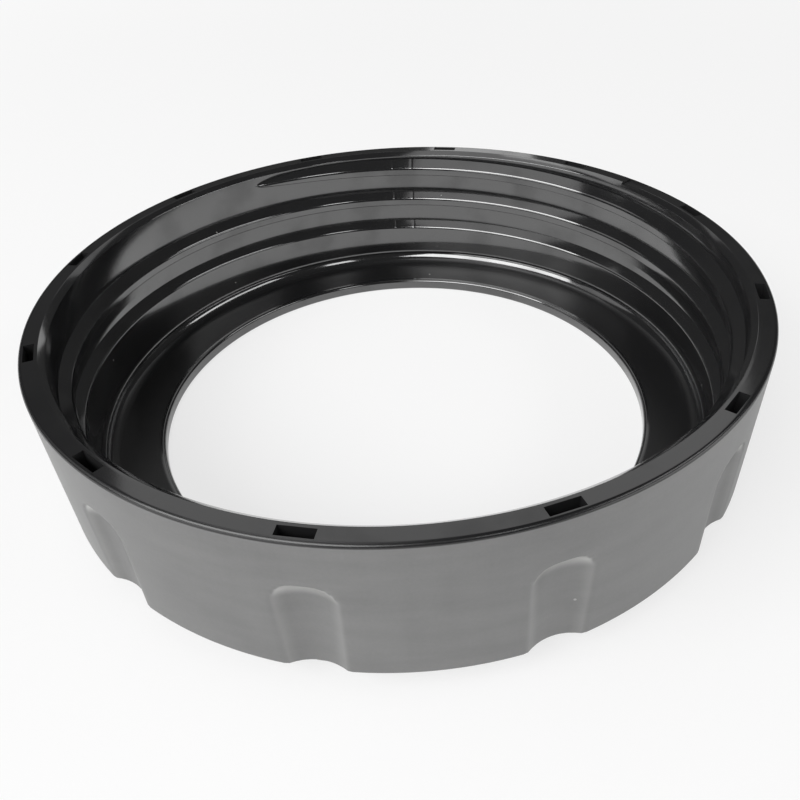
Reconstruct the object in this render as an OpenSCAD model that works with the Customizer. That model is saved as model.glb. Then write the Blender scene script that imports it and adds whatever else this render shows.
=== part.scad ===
// Threaded base ring of a blender jar, moulded in one piece. It stands as in use:
// the flange at the bottom, the threaded mouth up, and the origin at the centre
// of the bottom face. All sizes are in millimetres, and all angles in degrees.

/* [Collar] */

// Height from the bottom face to the rim
total_h = 25.7; // [22:0.1:34]
// Thickness of the wall between the thread's root and the outside of the rim
wall = 3.45; // [3:0.05:5]
// Width that the outer wall loses from the rim to the foot of the skirt
draft = 0.2; // [0:0.05:0.6]
// Height of the skirt's foot above the bottom face
step_h = 3.2; // [2.4:0.1:4]
// Radius of the rim's outer edge
rim_edge_r = 0.5; // [0.2:0.1:0.6]
// Radius of the edge at the foot of the skirt
skirt_edge_r = 0.4; // [0.2:0.1:1]
// Width of the chamfer round the mouth
mouth_chamfer_w = 0.85; // [0.4:0.05:1]
// Height of the chamfer round the mouth
mouth_chamfer_h = 0.7; // [0.3:0.05:1.2]

/* [Flange] */

// Thickness of the flange that carries the blade unit
flange_t = 2; // [1.6:0.1:3]
// Width of the ledge from the inner wall to the hole in the flange
ledge_w = 9.55; // [5:0.05:14]
// Radius of the edges of that hole
hole_edge_r = 0.3; // [0.1:0.05:0.6]
// Radius of the corner between the ledge and the inner wall
floor_fillet_r = 1.2; // [0.6:0.1:2]
// Thickness of the inner wall where it stands out below the skirt
spigot_wall = 1.85; // [1.2:0.05:3]
// Radius of that wall's lower edge
spigot_edge_r = 0.5; // [0.2:0.1:1]

/* [Thread] */

// Diameter at the root of the thread, which is also the mouth's
root_d = 103.1; // [80:0.1:130]
// Depth of the thread, from its root to its crest
thread_depth = 1.7; // [1.2:0.05:2.2]
// Height that the thread gains in one turn
pitch = 6.6; // [5.6:0.1:7.6]
// Height of the thread's flat crest
crest_w = 1.45; // [1:0.05:2]
// Height of the sloping flank above the crest
upper_flank_h = 1.4; // [1:0.05:1.8]
// Height of the flank below the crest, which holds the jar down
lower_flank_h = 0.3; // [0.1:0.05:0.6]
// Depth of the thread's start below the rim, measured at the thread's middle
start_depth = 2.3; // [2:0.05:3]
// Direction of the thread's start, counted from the first flute
start_angle = 134; // [0:1:359]
// Angle over which the thread rises to full size, and over which its groove ends
lead_in = 32; // [16:2:60]
// Angle that the groove turns through, from the thread's start to its own end
groove_turn = 560; // [480:5:640]

/* [Grip] */

// Number of finger flutes, each with a pocket in the rim above it
flutes = 12; // [6:1:16]
// Radius of a flute's hollow
flute_r = 7; // [5:0.25:9]
// Depth of a flute at the foot of the skirt
flute_depth = 1.2; // [0.6:0.1:1.4]
// Distance from the rim down to the shoulders of a flute's arched top
flute_drop = 9.8; // [9.5:0.1:14]
// Height of the arched top above its shoulders
flute_arch_h = 2.85; // [1:0.05:3.4]

/* [Rim pockets] */

// Length of a pocket along the rim
pocket_l = 4.36; // [2:0.02:6]
// Width of a pocket across the rim
pocket_w = 1.43; // [0.8:0.01:1.6]
// Thickness of the wall outside a pocket
pocket_wall = 0.72; // [0.6:0.01:0.9]
// Depth of a pocket
pocket_depth = 6; // [2:0.25:6]

/* [Gate mark] */

// Direction of the mark left by the mould's gate, counted from the first flute
gate_angle = 45; // [0:1:359]
// Length of the gate mark along the rim
gate_l = 4.2; // [2:0.1:6]
// Width of the rim left outside the gate mark
gate_wall = 0.7; // [0.6:0.05:1.5]
// Depth of the gate mark
gate_depth = 0.35; // [0.1:0.05:0.6]

/* [Hidden] */

root_r = root_d / 2;
crest_r = root_r - thread_depth;
rim_r = root_r + wall;
skirt_r = rim_r - draft;
spigot_r = crest_r + spigot_wall;
hole_r = crest_r - ledge_w;

// How far one solid runs into the next, and how far a cut runs past a face
sink = 0.4;
over = 1;
$fn = 180;

// The thread's middle at its start, and its whole height at the root
thread_top = total_h - start_depth;
ridge_h = upper_flank_h + crest_w + lower_flank_h;

// The thread's last angle: a turn past the groove's end, or sooner in a low ring, where
// the thread comes down to the skirt's foot or the ledge's corner
thread_foot = max(step_h, flange_t + floor_fillet_r) + ridge_h / 2 + sink;
last_turn = min(groove_turn + 360, (thread_top - thread_foot) * 360 / pitch);

function middle(a) = thread_top - pitch * a / 360;

// Height of the crest's middle at angle a, which lies within the thread at any radius
function core(a) = middle(a) + (lower_flank_h - upper_flank_h) / 2;

// Height up to which the wall is full: the groove ends just above it
full_h = core(last_turn);

// Share of its full size that the thread has at angle a from its start
function growth(a) = a < lead_in ? max(0.1, sqrt(1 - pow(1 - a / lead_in, 2))) : 1;

// Share of the groove below the thread that is filled at angle a, near the groove's end
function filled(a) =
    let(u = 1 - (groove_turn - a) / lead_in)
    u <= 0 ? 0 : 1 - sqrt(max(0, 1 - u * u));

// Section of the thread at angle a: outer and inner top, inner and outer bottom.
// The outer corners lie in the wall, and the inner ones past the crest, to be cut.
function thread_section(a) =
    let(
        size = growth(a),
        upper = upper_flank_h / thread_depth,
        lower = lower_flank_h / thread_depth,
        top = middle(a) + size * ridge_h / 2,
        bottom = middle(a) - size * ridge_h / 2,
        reach = size * (thread_depth + sink)
    )
    [
        [root_r + sink, top + sink * upper],
        [root_r - reach, top - reach * upper],
        [root_r - reach, bottom + reach * lower],
        [root_r + sink, bottom - sink * lower]
    ];

// Section of what fills the groove from its end on: from within the thread down to
// the next turn, or to the full wall
function fill_section(a) =
    let(
        deep = 1.5 * sink,
        top = core(a) - deep / 2,
        bottom = a > groove_turn ? full_h - deep : top - 0.2 - filled(a) * (pitch - 0.2)
    )
    [
        [root_r + deep, top],
        [crest_r - deep, top],
        [crest_r - deep, bottom],
        [root_r + deep, bottom]
    ];

// A solid through one section for each angle, clockwise and down as seen from above
module sweep(angles, sections) {
    last = len(angles) - 1;
    points = [
        for (i = [0 : last], p = sections[i])
            [p[0] * cos(start_angle - angles[i]), p[0] * sin(start_angle - angles[i]), p[1]]
    ];
    sides = [
        for (i = [0 : last - 1], k = [0 : 3])
            let(p = 4 * i + k, q = 4 * i + (k + 1) % 4)
                each [[p, q + 4, q], [p, p + 4, q + 4]]
    ];
    e = 4 * last;
    ends = [[0, 1, 2], [0, 2, 3], [e, e + 2, e + 1], [e, e + 3, e + 2]];
    polyhedron(points = points, faces = concat(ends, sides), convexity = 6);
}

module thread() {
    rise = [for (i = [0 : 7]) lead_in * (1 - cos(i * 90 / 8))];
    run = [for (a = [lead_in : 5 : last_turn + 5]) a];
    angles = concat(rise, run);
    sweep(angles, [for (a = angles) thread_section(a)]);
}

// The groove's end, and the wall below the thread from there on
module full_wall() {
    fade = [for (i = [0 : 8]) groove_turn - lead_in * (1 - sin(i * 90 / 8))];
    run = [for (a = [groove_turn + 5 : 5 : last_turn - 90 * crest_w / pitch]) a];
    angles = concat(fade, run);
    sweep(angles, [for (a = angles) fill_section(a)]);
}

// What an edge radius takes from a corner at the origin. The arc is a touch larger
// than its radius, so that it crosses both faces at a clear angle.
module edge_cut(r) {
    difference() {
        translate([-over, -over]) square(r + over);
        translate([r, r]) circle(r = 1.02 * r);
    }
}

module outer_form() {
    rotate_extrude() difference() {
        polygon([
            [0, 0],
            [spigot_r, 0],
            [spigot_r, step_h],
            [skirt_r, step_h],
            [rim_r, total_h],
            [0, total_h]
        ]);
        translate([spigot_r, 0]) mirror([1, 0]) edge_cut(spigot_edge_r);
        translate([skirt_r, step_h]) mirror([1, 0]) edge_cut(skirt_edge_r);
        translate([rim_r, total_h]) rotate(180) edge_cut(rim_edge_r);
    }
}

// The mouth, bored to the thread's root, with its chamfer
module mouth() {
    rotate_extrude() polygon([
        [0, full_h],
        [root_r, full_h],
        [root_r, total_h - mouth_chamfer_h],
        [root_r + mouth_chamfer_w, total_h],
        [root_r + mouth_chamfer_w, total_h + over],
        [0, total_h + over]
    ]);
}

// The room above the flange, bored to the thread's crest
module cup() {
    rotate_extrude() difference() {
        translate([0, flange_t]) square([crest_r, total_h]);
        translate([crest_r, flange_t]) mirror([1, 0]) edge_cut(floor_fillet_r);
    }
}

module hole() {
    rotate_extrude() {
        translate([0, -over]) square([hole_r, flange_t + 2 * over]);
        translate([hole_r, 0]) edge_cut(hole_edge_r);
        translate([hole_r, flange_t]) mirror([0, 1]) edge_cut(hole_edge_r);
    }
}

// An upright hollow for a fingertip, with a cone for its arched top
module flute() {
    top = total_h - flute_drop;
    translate([skirt_r - flute_depth + flute_r, 0, 0]) rotate_extrude() polygon([
        [0, 0],
        [flute_r, 0],
        [flute_r, top],
        [flute_r - flute_depth - draft, top + flute_arch_h],
        [0, top + flute_arch_h]
    ]);
}

module pocket() {
    translate([rim_r - pocket_wall - pocket_w, -pocket_l / 2, total_h - pocket_depth])
        cube([pocket_w, pocket_l, pocket_depth + over]);
}

module gate_mark() {
    translate([root_r - over, -gate_l / 2, total_h - gate_depth])
        cube([wall - gate_wall + over, gate_l, gate_depth + over]);
}

module threaded_ring() {
    color([0.035, 0.035, 0.04])
    difference() {
        union() {
            difference() {
                outer_form();
                mouth();
            }
            thread();
            full_wall();
        }
        cup();
        hole();
        for (i = [0 : flutes - 1]) rotate(i * 360 / flutes) {
            flute();
            pocket();
        }
        rotate(gate_angle) gate_mark();
    }
}

threaded_ring();
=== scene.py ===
# %% [markdown]
# # A threaded base ring for a blender jar
# The ring is one black plastic moulding. Its CAD solid was packed first, and it is
# loaded here as a fixed frame: it says how large the ring is and where it stands.
# Everything below is in metres, with the origin at the centre of the bottom face.

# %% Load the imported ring
import bmesh
import bpy
import math
import numpy as np
from mathutils import Matrix, Vector


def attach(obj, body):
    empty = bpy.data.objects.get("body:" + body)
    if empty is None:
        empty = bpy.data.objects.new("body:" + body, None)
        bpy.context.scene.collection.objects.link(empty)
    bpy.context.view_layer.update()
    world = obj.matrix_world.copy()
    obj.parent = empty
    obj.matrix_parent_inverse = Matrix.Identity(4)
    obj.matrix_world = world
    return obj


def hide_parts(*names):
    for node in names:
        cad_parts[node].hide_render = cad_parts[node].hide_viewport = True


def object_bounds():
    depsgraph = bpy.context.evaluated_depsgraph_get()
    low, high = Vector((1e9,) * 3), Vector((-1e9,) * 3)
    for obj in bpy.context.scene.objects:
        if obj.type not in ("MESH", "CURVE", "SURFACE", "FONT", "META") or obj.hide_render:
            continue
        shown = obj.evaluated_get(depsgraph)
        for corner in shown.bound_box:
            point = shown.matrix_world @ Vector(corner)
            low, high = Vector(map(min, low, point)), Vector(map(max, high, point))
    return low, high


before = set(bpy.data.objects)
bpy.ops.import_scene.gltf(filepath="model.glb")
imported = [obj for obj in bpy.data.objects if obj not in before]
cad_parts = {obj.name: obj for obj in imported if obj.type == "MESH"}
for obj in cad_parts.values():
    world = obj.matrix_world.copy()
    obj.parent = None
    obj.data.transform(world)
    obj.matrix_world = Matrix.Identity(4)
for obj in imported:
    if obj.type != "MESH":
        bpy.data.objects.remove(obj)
cad_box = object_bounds()
scene = bpy.context.scene
scene.view_settings.view_transform = "Standard"
ring_height = cad_box[1].z
print("CAD box in mm:", [[round(1000 * x, 2) for x in corner] for corner in cad_box])

# %% [markdown]
# ## Writing shader maths as Python
# A material is a graph of nodes. Placing each Math node by hand is slow to write and
# hard to read, so one small class wraps a node's output. An expression such as
# `1 - mask * 0.5` then adds the Math nodes that it needs.

# %% One class for node outputs, and one for their graph


class Wire:
    """A number that leaves a node. Each operator adds one Math node to the graph."""

    def __init__(self, graph, socket):
        self.graph, self.socket = graph, socket

    def math(self, operation, *values):
        return self.graph.node(
            "ShaderNodeMath", {"operation": operation}, dict(enumerate(values))
        )

    def __add__(self, other):
        return self.math("ADD", self, other)

    def __radd__(self, other):
        return self.math("ADD", other, self)

    def __sub__(self, other):
        return self.math("SUBTRACT", self, other)

    def __rsub__(self, other):
        return self.math("SUBTRACT", other, self)

    def __mul__(self, other):
        return self.math("MULTIPLY", self, other)

    def __rmul__(self, other):
        return self.math("MULTIPLY", other, self)

    def __truediv__(self, other):
        return self.math("DIVIDE", self, other)


class Graph:
    """The node graph of a material or of the world, emptied first."""

    def __init__(self, owner):
        owner.use_nodes = True
        self.tree = owner.node_tree
        self.tree.nodes.clear()

    def node(self, kind, settings=None, sockets=None, out=0):
        """Adds a node of a kind, sets its settings, then its sockets, by name or place."""
        made = self.tree.nodes.new(kind)
        for name, value in (settings or {}).items():
            if name == "stops":
                ramp = made.color_ramp
                for place, grey in value[2:]:
                    ramp.elements.new(place)
                for stop, (place, grey) in zip(ramp.elements, sorted(value)):
                    stop.position, stop.color = place, (grey, grey, grey, 1)
            else:
                setattr(made, name, value)
        for name, value in (sockets or {}).items():
            if isinstance(value, Wire):
                self.tree.links.new(value.socket, made.inputs[name])
            else:
                made.inputs[name].default_value = value
        return Wire(self, made.outputs[out]) if made.outputs else None


print("Operators of a wire: + - * /")

# %% [markdown]
# ## The ring's shape
# The CAD solid has the true form, but its thread is faceted and its edges are sharp.
# Light shows a moulding by its small round edges, so the visible ring is worked out
# again, finely, from the same sizes. It could be a lathed profile with a thread cut
# by booleans, but booleans leave a mesh that shades badly. Here the whole ring is one
# grid instead: a closed profile of corners, which changes a little from one direction
# to the next, is carried once round the axis.

# %% Sizes of the ring in millimetres, the same as in the CAD source
TOTAL_H, STEP_H, FLANGE_T = 25.7, 3.2, 2.0
ROOT_R, WALL, DRAFT = 51.55, 3.45, 0.2
THREAD_DEPTH, PITCH, CREST_W = 1.7, 6.6, 1.45
UPPER_FLANK_H, LOWER_FLANK_H = 1.4, 0.3
CREST_R, RIM_R = ROOT_R - THREAD_DEPTH, ROOT_R + WALL
SKIRT_R, SPIGOT_R, HOLE_R = RIM_R - DRAFT, CREST_R + 1.85, CREST_R - 9.55
CHAMFER_W, CHAMFER_H, FLOOR_FILLET_R = 0.85, 0.7, 2.5
THREAD_TOP = TOTAL_H - 2.3
RIDGE_H = UPPER_FLANK_H + CREST_W + LOWER_FLANK_H
START_ANGLE, LEAD_IN, GROOVE_TURN = 134, 32, 560
FLUTES, FLUTE_R, FLUTE_DEPTH = 12, 7.0, 1.2
FLUTE_TOP, ARCH_H = TOTAL_H - 9.8, 2.85
POCKET_L, POCKET_W, POCKET_WALL, POCKET_DEPTH = 4.36, 1.43, 0.72, 6.0
GATE_ANGLE, GATE_L, GATE_WALL, GATE_DEPTH = 45, 4.2, 0.7, 0.35
print("rim", 2 * RIM_R, "mm across, hole", round(2 * HOLE_R, 1), "mm")

# %% [markdown]
# ### Directions round the axis
# The grid needs a column wherever something begins or ends: at both ends of each rim
# pocket and of the gate mark, and at the faint witness lines that the mould's core
# leaves. A wall that drops straight down needs two columns a hair's breadth apart,
# one for its top and one for its foot. The seam of the grid lies midway between two
# flutes, shortly before the thread's start.

# %% Choose the columns
SEAM, STEPS, HAIR = 165.0, 48, 1e-5
SPAN = 360 / FLUTES
pocket_half = math.degrees(math.atan(POCKET_L / 2 / (RIM_R - POCKET_WALL)))
gate_half = math.degrees(math.atan(GATE_L / 2 / (RIM_R - GATE_WALL)))
WITNESS_LINES, WITNESS_HALF, WITNESS_H = (97.4, 101.8), 0.1, 0.015
walls = [SPAN * k + side * pocket_half for k in range(-6, 6) for side in (-1, 1)]
walls += [GATE_ANGLE + side * gate_half for side in (-1, 1)]
lines = [a + side * WITNESS_HALF for a in WITNESS_LINES for side in (-1, 0, 1)]
even = np.linspace(SEAM - 360, SEAM, FLUTES * STEPS + 1)
crowded = np.abs(even[:, None] - np.array(walls + lines)).min(1) < 0.3
pairs = [wall + side * HAIR for wall in walls for side in (-1, 1)]
azimuth = np.sort(np.concatenate([even[~crowded], pairs, lines]))[::-1]
off_flute = (azimuth + SPAN / 2) % SPAN - SPAN / 2
off_gate = azimuth - GATE_ANGLE
in_pocket, in_gate = np.abs(off_flute) < pocket_half, np.abs(off_gate) < gate_half
turn = START_ANGLE - azimuth
print(len(azimuth), "columns,", in_pocket.sum(), "of them through pockets")

# %% [markdown]
# ### The thread
# The thread is a ridge that runs down the wall like a spiral stair, one pitch lower
# after each turn. Each column therefore meets it three times, at `turn`, `turn + 360`
# and `turn + 720` degrees from its start. Where the ridge isn't there, its four
# corners lie together on the plain wall, and the faces between them vanish.

# %% Work out the thread's corners


def smooth(x):
    """Runs from 0 to 1 as x does, level at both ends: 3 x^2 - 2 x^3."""
    x = np.clip(x, 0, 1)
    return x * x * (3 - 2 * x)


def middle_z(a):
    """Height of the ridge's middle at angle a: it falls by one pitch a turn."""
    return THREAD_TOP - PITCH * a / 360


def ridge(a):
    """The ridge's corners at angle a as (r, z): root and crest on top, crest and root
    below. Its size grows from nothing along a quarter circle, over the lead-in."""
    size = np.sqrt(1 - (1 - np.clip(a / LEAD_IN, 0, 1)) ** 2)
    crest = ROOT_R - size * THREAD_DEPTH
    root = np.full_like(a, ROOT_R)
    top = middle_z(a) + size * RIDGE_H / 2
    foot = middle_z(a) - size * RIDGE_H / 2
    above = (root, top), (crest, top - size * UPPER_FLANK_H)
    below = (crest, foot + size * LOWER_FLANK_H), (root, foot)
    return np.array(above + below)


def close_groove(upper, lower, a):
    """Ends the groove between two turns. The underside of the upper one comes down as
    a level face, along a quarter circle, until it meets the crest of the lower one."""
    u = np.clip(1 - (GROOVE_TURN - a) / LEAD_IN, 0, 1)
    level = middle_z(a) + (LOWER_FLANK_H - UPPER_FLANK_H) / 2 - 0.5
    level -= (1 - np.sqrt(1 - u * u)) * (PITCH - 0.2)
    (root_r, root_z), (crest_r, crest_z) = lower[0].copy(), lower[1].copy()
    level = np.where(a > GROOVE_TURN, crest_z, np.maximum(level, crest_z))
    meet = crest_r + (level - crest_z) * (root_r - crest_r) / (root_z - crest_z)
    cut = level < root_z
    upper[2][1] = np.minimum(upper[2][1], level)
    upper[3][1] = np.minimum(upper[3][1], level)
    upper[3][0] = lower[0][0] = np.where(cut, meet, ROOT_R)
    lower[0][1] = np.minimum(root_z, np.where(cut, level, root_z))


first, second, third = ridge(turn), ridge(turn + 360), ridge(turn + 720)
# Before the start, the ridge's corners wait on the wall and come up from the turn below
WAIT = 1.5
rise = smooth(1 - turn / turn[0])
wait_z = second[0][1] + WAIT
first[:, 1] = np.where(turn < 0, wait_z + rise * (middle_z(turn) - wait_z), first[:, 1])
lowest = FLANGE_T + FLOOR_FILLET_R
third[2:, 0] = CREST_R
third[2:, 1] = ridge(turn + 1080)[1][1]
third[:, 1] = np.maximum(third[:, 1], lowest)
close_groove(second, third, turn + 360)
print("thread from", round(first[0][1].max(), 1), "mm down to", lowest, "mm")

# %% [markdown]
# ### The outer wall and its finger flutes
# Each flute is what a round bar leaves when it is pressed upright into the wall, and
# its arched top is what the bar's rounded tip leaves. The CAD solid has a cone there,
# but the photograph shows a rounder arch. The edge between flute and wall is softened,
# as the edges of a mould are.

# %% Work out the outer wall
AXIS_R = SKIRT_R - FLUTE_DEPTH + FLUTE_R
FLUTE_SOFTNESS, TIP_BEND = 0.05, 1.6


def outer_r(z):
    """Radius of the outer wall at height z in every column: the drafted cone, less a
    soft maximum (d + sqrt(d^2 + k^2)) / 2 of how deep the flute's bar lies in it. The
    bar's tip is 1 - (1 - t^n)^(1/n) over the arch's height: n = 1 would be a cone, and
    n = 2 a quarter of an ellipse."""
    cone = RIM_R - DRAFT * (TOTAL_H - z) / (TOTAL_H - STEP_H)
    t = np.clip((z - FLUTE_TOP) / ARCH_H, 0, 2.5)
    below_top = np.minimum(t, 1) ** TIP_BEND
    tip = np.where(t < 1, 1 - (1 - below_top) ** (1 / TIP_BEND), t)
    bar = FLUTE_R - (FLUTE_DEPTH + DRAFT) * tip
    u = np.radians(off_flute)
    half_chord = np.sqrt(np.maximum(bar**2 - (AXIS_R * np.sin(u)) ** 2, 0))
    depth = cone - (AXIS_R * np.cos(u) - half_chord)
    return cone - (depth + np.sqrt(depth**2 + FLUTE_SOFTNESS**2)) / 2


arch = FLUTE_TOP + ARCH_H * np.sin(np.radians(np.linspace(90, 0, 17)))
LEVELS = [23.5, arch[0] + 0.5, arch[0] + 0.15, arch[0] + 0.04, *arch, 12, 8, 4.6]
print("flute", round(float(RIM_R - outer_r(10.0).min()), 2), "mm deep below the rim")

# %% [markdown]
# ### From corners to a closed grid
# All corners of the profile are listed in order round the section: down the outside,
# under the flange, through the hole, over the ledge, up the thread and over the rim.
# Each has an edge radius. A round edge is a true arc, written as a rational Bezier
# curve whose middle point is the corner and weighs the cosine of half the turn.

# %% Collect the corners
corners, radii, counts = [], [], []


def corner(r, z, radius=0.0, count=1, direction=None):
    """Adds one corner of the profile for all columns, with its edge radius and with
    the number of grid rows on its arc."""
    az = azimuth if direction is None else direction
    corners.append(np.array(np.broadcast_arrays(r, az, z), float))
    radii.append(radius)
    counts.append(count)


corner(RIM_R, TOTAL_H, 0.5, 7)
for z in LEVELS:
    corner(outer_r(z), z)
corner(outer_r(STEP_H), STEP_H, 0.4, 7)
corner(SPIGOT_R, STEP_H)
corner(SPIGOT_R, 0, 0.5, 7)
corner(HOLE_R, 0, 0.3, 5)
corner(HOLE_R, FLANGE_T, 0.5, 7)
corner(CREST_R, FLANGE_T, FLOOR_FILLET_R, 9)
CREST_TOP, CREST_FOOT, ROOT_FOOT = 0.7, 0.2, 0.25
SINK, SINK_H, SINK_BEND = 0.1, 0.6, 6.5
mouth_z = TOTAL_H - CHAMFER_H
at_line = np.abs(azimuth[:, None] - np.array(WITNESS_LINES)).min(1) < HAIR
for section in (first[1:3], second[1:3], third[1:2]):
    section[:, 0] -= WITNESS_H * at_line
for k in (3, 2):
    corner(*third[k])
for section in (third, second, first):
    (top_r, top_z), crest_top, crest_foot, foot = section
    if section is not third:
        corner(*foot, ROOT_FOOT, 5)
        corner(*crest_foot, CREST_FOOT, 5)
    corner(*crest_top, CREST_TOP, 7)
    size = (ROOT_R - crest_top[0]) / THREAD_DEPTH
    height = np.minimum(SINK_H * size, 0.4 * (mouth_z - top_z)) * (top_r == ROOT_R)
    corner(top_r - SINK * height / SINK_H, top_z)
    corner(top_r, top_z + height, SINK_BEND, 7)
top_z = first[0][1]
last_z = top_z + WAIT * np.where(turn < 0, rise, 1)
corner(ROOT_R, np.minimum(last_z, 0.25 * top_z + 0.75 * mouth_z))
print(len(corners), "corners so far")

# %% [markdown]
# The rim has twelve deep pockets, which keep its wall thin, and one shallow mark where
# the plastic came into the mould. Both have flat walls, so their corners are placed
# by distance along the wall instead of by direction.

# %% Add the rim's corners
at_pocket = np.abs(off_flute) < pocket_half + 2 * HAIR
at_gate = np.abs(off_gate) < gate_half + 2 * HAIR
outer_face = np.where(at_gate, RIM_R - GATE_WALL, RIM_R - POCKET_WALL)
off = np.radians(np.where(at_gate, off_gate, off_flute))
along = np.where(at_pocket | at_gate, outer_face * np.tan(off), 0)
base = azimuth - np.degrees(off)


def rim_corner(x, z, radius=0.0, count=1, is_r=False):
    """A corner at a distance x from the axis, measured square to a pocket's wall, or
    at a radius x. In a pocket it keeps its distance along the wall."""
    x = np.broadcast_to(x, azimuth.shape)
    flat = at_pocket | at_gate
    across = np.sqrt(x**2 - along**2) if is_r else x
    r = np.where(flat, np.hypot(across, along), x)
    az = np.where(flat, base + np.degrees(np.arctan2(along, across)), azimuth)
    corner(r, z, radius, count, az)


inner_face = RIM_R - POCKET_WALL - POCKET_W
floor_z = np.where(in_pocket, TOTAL_H - POCKET_DEPTH, TOTAL_H)
floor_z = np.where(in_gate, TOTAL_H - GATE_DEPTH, floor_z)
land_z = np.where(in_gate, TOTAL_H - GATE_DEPTH, TOTAL_H)
half_way = 1 - GATE_DEPTH / CHAMFER_H
corner(ROOT_R, mouth_z, 0.15, 5)
rim_corner(ROOT_R + half_way * CHAMFER_W, TOTAL_H - GATE_DEPTH, is_r=True)
lip_r = ROOT_R + np.where(in_gate, half_way, 1) * CHAMFER_W
rim_corner(lip_r, land_z, 0.12, 5, is_r=True)
rim_corner(inner_face, land_z)
rim_corner(inner_face, floor_z)
rim_corner(outer_face, floor_z)
rim_corner(outer_face, TOTAL_H)
print(len(corners), "corners in all,", sum(counts), "rows")

# %% Round the corners


def rounded(corners, radii, counts):
    """Rows of points round the profile. An arc leaves its corner's two sides at the
    distance radius * tan(turn / 2), or at its share of a side that is too short."""
    before, after = np.roll(corners, 1, 0) - corners, np.roll(corners, -1, 0) - corners
    reach = [np.maximum(np.hypot(side[:, 0], side[:, 2]), 1e-9) for side in (before, after)]
    dot = before[:, 0] * after[:, 0] + before[:, 2] * after[:, 2]
    half = np.arccos(np.clip(-dot / (reach[0] * reach[1]), -1, 1)) / 2
    wanted = radii[:, None] * np.tan(np.minimum(half, 1.4)) + 1e-12
    cut = np.minimum(wanted, reach[0] * wanted / (wanted + np.roll(wanted, 1, 0)))
    cut = np.minimum(cut, reach[1] * wanted / (wanted + np.roll(wanted, -1, 0)))
    start = corners + before * (cut / reach[0])[:, None]
    end = corners + after * (cut / reach[1])[:, None]
    rows = []
    for k, count in enumerate(counts):
        if count == 1:
            rows.append(corners[k])
            continue
        for f in (1 - np.cos(np.pi * np.linspace(0, 1, count))) / 2:
            weights = (1 - f) ** 2, 2 * f * (1 - f) * np.cos(half[k]), f * f
            mix = sum(w * p for w, p in zip(weights, (start[k], corners[k], end[k])))
            rows.append(mix / sum(weights))
    return np.array(rows)


grid = rounded(np.array(corners), np.array(radii), counts)
r, az, z = grid[:, 0], np.radians(grid[:, 1]), grid[:, 2]
points = np.stack([r * np.cos(az), r * np.sin(az), z], -1) / 1000
print("grid of", points.shape[0], "rows and", points.shape[1], "columns")

# %% [markdown]
# The last column lies on the first one. Points that lie together become one point, so
# the seam closes, and so do all places where a ridge, a pocket or a groove has ended.

# %% Make the mesh
n_rows, n_cols = points.shape[:2]
index = np.arange(n_rows * n_cols).reshape(n_rows, n_cols)
down = np.roll(index, -1, 0)
quads = np.stack([index[:, :-1], index[:, 1:], down[:, 1:], down[:, :-1]], -1)
ring_mesh = bpy.data.meshes.new("moulded_ring")
ring_mesh.from_pydata(points.reshape(-1, 3).tolist(), [], quads.reshape(-1, 4).tolist())
bm = bmesh.new()
bm.from_mesh(ring_mesh)
bmesh.ops.remove_doubles(bm, verts=bm.verts, dist=1e-6)
bmesh.ops.recalc_face_normals(bm, faces=bm.faces)
open_edges = sum(len(edge.link_faces) != 2 for edge in bm.edges)
volume = bm.calc_volume(signed=True) * 1e9
bm.to_mesh(ring_mesh)
bm.free()
ring_mesh.polygons.foreach_set("use_smooth", [True] * len(ring_mesh.polygons))
ring_mesh.set_sharp_from_angle(angle=math.radians(32))
ring = bpy.data.objects.new("moulded_ring", ring_mesh)
scene.collection.objects.link(ring)
triangles = sum(len(face.vertices) - 2 for face in ring_mesh.polygons)
print(triangles, "triangles,", open_edges, "open edges,", round(volume), "mm3")
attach(ring, "root")
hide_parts("threaded_ring")

# %% [markdown]
# ## The camera
# The camera stands where the photographer's did, in front and above, and looks down
# into the mouth. Its place and turn were worked out from the outlines of the rim, the
# hole and the pockets, so the render can be laid over the photograph.

# %% Place the camera
camera_data = bpy.data.cameras.new("camera")
camera = bpy.data.objects.new("camera", camera_data)
scene.collection.objects.link(camera)
camera_data.sensor_width = 36
camera_data.lens = 34.78
camera_data.shift_x = -0.0158
CAMERA_PLACE = (0.02343, -0.10361, 0.08369)
CAMERA_RIGHT = (0.98401, 0.17274, -0.04353)
CAMERA_DOWN = (0.07264, -0.61219, -0.78737)
right, down = Vector(CAMERA_RIGHT).normalized(), Vector(CAMERA_DOWN).normalized()
turn = Matrix((right, -down, -right.cross(down))).transposed()
camera.matrix_world = Matrix.Translation(CAMERA_PLACE) @ turn.to_4x4()
camera_data.clip_start, camera_data.clip_end = 0.01, 20
scene.camera = camera
print("camera at", [round(1000 * x, 1) for x in CAMERA_PLACE], "mm")
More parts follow.
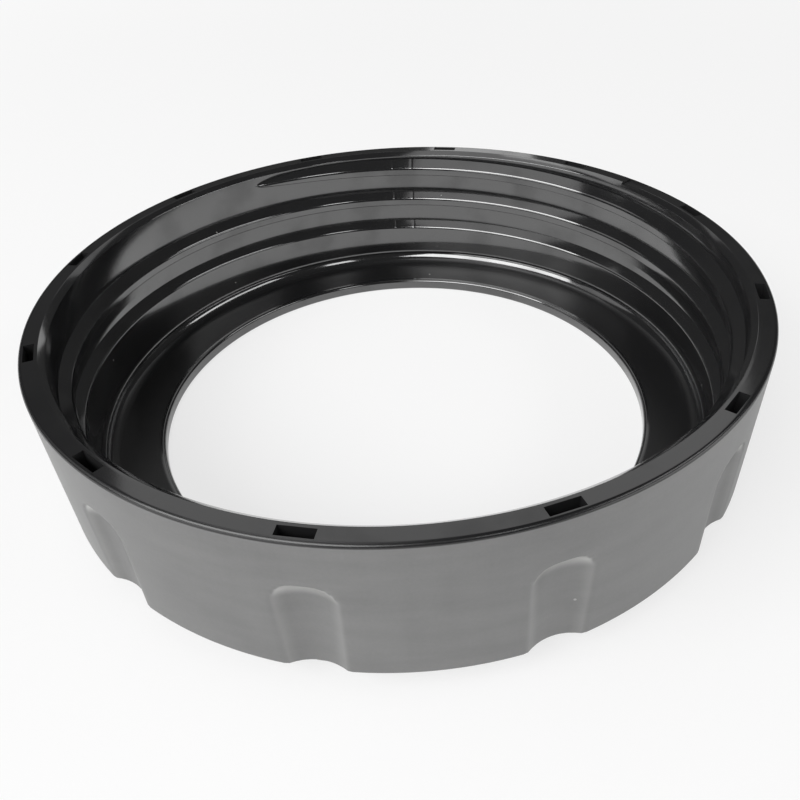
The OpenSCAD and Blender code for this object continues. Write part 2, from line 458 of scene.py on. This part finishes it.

# %% [markdown]
# ## The black plastic
# The real ring is one black plastic, but the mould gives it two finishes. The outside
# is satin, because a hand has to grip it, and the inside and the rim are polished. A
# mask by the distance from the axis tells the two apart. Noise in the ring's own space
# varies colour and roughness a little, as flow and handling do, and a finer noise
# gives the slight waviness by which a moulded face is told from glass. The arch tops
# in the flutes, and more faintly the flutes' lips, are painted a lighter grey: a painted highlight.

# %% Make the plastic
plastic = bpy.data.materials.new("black_moulded_plastic")
g = Graph(plastic)
place = g.node("ShaderNodeTexCoord", out=3)
flat = g.node("ShaderNodeVectorMath", {"operation": "MULTIPLY"}, {0: place, 1: (1, 1, 0)})
radius = g.node("ShaderNodeVectorMath", {"operation": "LENGTH"}, {0: flat}, out=1)
off_mouth = g.node(
    "ShaderNodeMapRange",
    {"interpolation_type": "SMOOTHSTEP"},
    {"Value": radius, 1: 0.0527, 2: 0.0528},
)
height = g.node("ShaderNodeSeparateXYZ", {}, {"Vector": place}, out=2)
below_rim = g.node(
    "ShaderNodeMapRange",
    {"interpolation_type": "SMOOTHSTEP"},
    {"Value": height, 1: 0.0253, 2: 0.0251},
)
behind_wall = g.node(
    "ShaderNodeMapRange",
    {"interpolation_type": "SMOOTHSTEP"},
    {"Value": radius, 1: 0.0547, 2: 0.0545},
)
above_flutes = g.node(
    "ShaderNodeMapRange",
    {"interpolation_type": "SMOOTHSTEP"},
    {"Value": height, 1: 0.0192, 2: 0.0195},
)
off_land = g.node(
    "ShaderNodeMapRange",
    {"interpolation_type": "SMOOTHSTEP"},
    {"Value": height, 1: 0.0257, 2: 0.0256},
)
rim_edge = g.node(
    "ShaderNodeMapRange",
    {"interpolation_type": "SMOOTHSTEP"},
    {"Value": radius, 1: 0.0544, 2: 0.0546},
)
# Height band of the flutes' arch tops, where the painted highlight goes
arch_highlight_zone = g.node(
    "ShaderNodeMapRange",
    {"interpolation_type": "SMOOTHSTEP"},
    {"Value": height, 1: 0.0155, 2: 0.0178},
)
SLOPE = DRAFT / (TOTAL_H - STEP_H)
depth = (RIM_R - SLOPE * TOTAL_H) / 1000 + SLOPE * height - radius
recessed, past_lip, into_flute = (
    g.node(
        "ShaderNodeMapRange",
        {"interpolation_type": "SMOOTHSTEP"},
        {"Value": depth, 1: low, 2: high},
    )
    for low, high in ((0.00006, 0.0003), (0.00001, 0.0002), (0.0001, 0.0009))
)
# Band along the flutes' lips, which gets a fainter share of the painted highlight
lip_highlight_zone = past_lip * (1 - into_flute) * (1 - above_flutes)
hidden = off_mouth * behind_wall * above_flutes * off_land
satin = off_mouth * below_rim * (1 - hidden)
on_ledge = g.node(
    "ShaderNodeMapRange",
    {"interpolation_type": "SMOOTHSTEP"},
    {"Value": height, 1: 0.0030, 2: 0.0021},
)
past_edge = g.node(
    "ShaderNodeMapRange",
    {"interpolation_type": "SMOOTHSTEP"},
    {"Value": radius, 1: 0.0408, 2: 0.0414},
)
broad = g.node("ShaderNodeTexNoise", {}, {"Vector": place, "Scale": 45, "Detail": 3})
streaks_at = g.node(
    "ShaderNodeVectorMath", {"operation": "MULTIPLY"}, {0: place, 1: (1, 1, 0.15)}
)
streaks = g.node("ShaderNodeTexNoise", {}, {"Vector": streaks_at, "Scale": 420, "Detail": 2})
fine = g.node("ShaderNodeTexNoise", {}, {"Vector": place, "Scale": 2600, "Detail": 2})
smears_at = g.node(
    "ShaderNodeVectorMath", {"operation": "MULTIPLY"}, {0: place, 1: (0.2, 0.2, 1)}
)
smears = g.node("ShaderNodeTexNoise", {}, {"Vector": smears_at, "Scale": 450, "Detail": 3})
polished = g.node(
    "ShaderNodeMix",
    {"data_type": "RGBA"},
    {0: broad, 6: (0.006, 0.006, 0.0065, 1), 7: (0.010, 0.010, 0.0105, 1)},
    out=2,
)
gripped = g.node(
    "ShaderNodeMix",
    {"data_type": "RGBA"},
    {
        0: 0.3 * fine + 0.3 * streaks + 0.8 * smears + 0.8 * broad - 0.6,
        6: (0.056, 0.056, 0.056, 1),
        7: (0.132, 0.132, 0.130, 1),
    },
    out=2,
)
# Painted highlight: the satin colour is lifted to a light grey (0.34) on the arch tops inside the
# flutes, and a fifth as much on their lips
painted_arch_highlight = g.node(
    "ShaderNodeMix",
    {"data_type": "RGBA"},
    {0: arch_highlight_zone * recessed + 0.2 * lip_highlight_zone, 6: gripped, 7: (0.34, 0.34, 0.33, 1)},
    out=2,
)
cloud = g.node("ShaderNodeTexNoise", {}, {"Vector": place, "Scale": 110, "Detail": 5})
haze = g.node(
    "ShaderNodeMapRange",
    {"interpolation_type": "SMOOTHSTEP"},
    {"Value": cloud, 1: 0.45, 2: 0.7},
)
nearest = g.node("ShaderNodeTexVoronoi", {}, {"Vector": place, "Scale": 130})
speck = nearest.math("LESS_THAN", nearest, 0.025)
inner_shade, outer_shade = (
    g.node(
        "ShaderNodeMix", {"data_type": "RGBA"}, {0: speck, 6: clean, 7: (0.30, 0.30, 0.29, 1)}, out=2
    )
    for clean in (polished, painted_arch_highlight)
)
ledge = on_ledge * past_edge
bump = g.node(
    "ShaderNodeBump",
    {},
    {"Strength": 0.35, "Distance": 0.00001, "Height": fine + 1.5 * streaks},
)
inside = g.node(
    "ShaderNodeBsdfPrincipled",
    {},
    {
        "Base Color": inner_shade,
        "Roughness": 0.09 + 0.06 * broad + 0.22 * ledge + 0.14 * rim_edge + 0.4 * hidden,
        "IOR": 1.6,
        "Coat Weight": (1 - ledge) * (1 - hidden) * (1 - rim_edge) * (1 - speck) * (1 - 0.3 * haze),
        "Coat Roughness": 0.08,
        "Coat IOR": 2.0,
        "Normal": bump,
    },
)
outside = g.node(
    "ShaderNodeBsdfPrincipled",
    {},
    {
        "Base Color": outer_shade,
        "Roughness": 0.28 + 0.08 * streaks + 0.08 * smears,
        "IOR": 2.1,
        "Normal": bump,
    },
)
skin = g.node("ShaderNodeMixShader", {}, {0: satin, 1: inside, 2: outside})
g.node("ShaderNodeOutputMaterial", {}, {"Surface": skin})
ring_mesh.materials.append(plastic)
print("material", plastic.name, "has", len(plastic.node_tree.nodes), "nodes")

# %% [markdown]
# ## The floor
# The ring stands on plain white paper. The camera looks down, so the paper is all of
# the background. Mixing in a white glow for camera and mirror rays keeps it white, and
# the rest of the mix still shows the soft shadow.

# %% Make the floor
FLOOR_SIZE, FLOOR_Z = 4.0, -0.00002
half = FLOOR_SIZE / 2
floor_mesh = bpy.data.meshes.new("floor")
floor_mesh.from_pydata(
    [(x * half, y * half, FLOOR_Z) for x, y in ((-1, -1), (1, -1), (1, 1), (-1, 1))],
    [],
    [(0, 1, 2, 3)],
)
floor = bpy.data.objects.new("floor", floor_mesh)
scene.collection.objects.link(floor)
paper = bpy.data.materials.new("white_paper")
g = Graph(paper)
to_camera, mirrored, through = (g.node("ShaderNodeLightPath", out=k) for k in (0, 3, 6))
seen = to_camera.math("MAXIMUM", to_camera, 0.5 * mirrored)
seen = seen.math("MAXIMUM", seen, through)
from_below = g.node("ShaderNodeNewGeometry", out=6)
spot = g.node("ShaderNodeTexCoord", out=3)
away = g.node("ShaderNodeVectorMath", {"operation": "LENGTH"}, {0: spot}, out=1)
far = g.node(
    "ShaderNodeMapRange",
    {"interpolation_type": "SMOOTHSTEP"},
    {"Value": away, 1: 0.10, 2: 0.80},
)
matt = g.node("ShaderNodeBsdfDiffuse", {}, {"Color": (0.93, 0.93, 0.93, 1)})
glow = g.node("ShaderNodeEmission", {}, {"Color": (1, 1, 1, 1), "Strength": 1.0})
both = g.node("ShaderNodeMixShader", {}, {0: seen * (0.7 + 0.3 * far), 1: matt, 2: glow})
clear = g.node("ShaderNodeBsdfTransparent")
sheet = g.node("ShaderNodeMixShader", {}, {0: from_below, 1: both, 2: clear})
g.node("ShaderNodeOutputMaterial", {}, {"Surface": sheet})
floor_mesh.materials.append(paper)
print("floor", FLOOR_SIZE, "m wide")

# %% [markdown]
# ## The light
# Gloss shows its surroundings, so the light is a small studio and not one lamp. A
# large soft box stands to the left behind the camera, and a dim panel hangs overhead.
# The right side stays dark, but for one narrow strip. The lamps make the highlights on
# the thread and in the floor's corner, and the dark side lets the black stay black.

# %% Light the scene
AMBIENT = 0.06
world = bpy.data.worlds.new("studio")
scene.world = world
g = Graph(world)
to_camera, through = (g.node("ShaderNodeLightPath", out=k) for k in (0, 6))
seen = to_camera.math("MAXIMUM", to_camera, through)
strength = AMBIENT + (1 - AMBIENT) * seen
room = g.node("ShaderNodeBackground", {}, {"Color": (1, 1, 1, 1), "Strength": strength})
g.node("ShaderNodeOutputWorld", {}, {"Surface": room})

flat_right = Vector((CAMERA_RIGHT[0], CAMERA_RIGHT[1], 0)).normalized()
flat_ahead = Vector((-flat_right.y, flat_right.x, 0))


def soft_box(name, side, rise, size, radiance, distance=1.0):
    """A rectangular lamp that faces the ring, at a distance in metres. Its side is the
    angle from straight ahead of the camera, to the right, and its rise is the angle
    above the floor. Its power is its radiance times pi times its area."""
    data = bpy.data.lights.new(name, "AREA")
    data.shape, (data.size, data.size_y) = "RECTANGLE", size
    data.energy = radiance * math.pi * size[0] * size[1]
    lamp = bpy.data.objects.new(name, data)
    scene.collection.objects.link(lamp)
    a, e = math.radians(side), math.radians(rise)
    level = flat_ahead * math.cos(a) + flat_right * math.sin(a)
    lamp.location = distance * (level * math.cos(e) + Vector((0, 0, math.sin(e))))
    lamp.rotation_mode = "QUATERNION"
    lamp.rotation_quaternion = (-lamp.location).to_track_quat("-Z", "Y")


soft_box("window", -136, 42, (1.10, 0.50), 5.5)
soft_box("curtain", -84, 36, (0.40, 0.50), 0.60)
soft_box("overhead", -104, 73, (0.54, 0.44), 0.65)
soft_box("ceiling", -40, 66, (0.46, 0.40), 1.0)
soft_box("strip", 98, 40, (0.66, 0.18), 3.6)
soft_box("slot", 151, 41, (0.17, 0.26), 4.0)
soft_box("low_left", -132, 12, (0.90, 0.36), 1.8)
soft_box("low_right", 108, 9, (1.00, 0.28), 2.4)
soft_box("backdrop", 0, 46, (0.90, 0.30), 0.40)
soft_box("gap", 5, 24, (0.14, 0.20), 0.8)
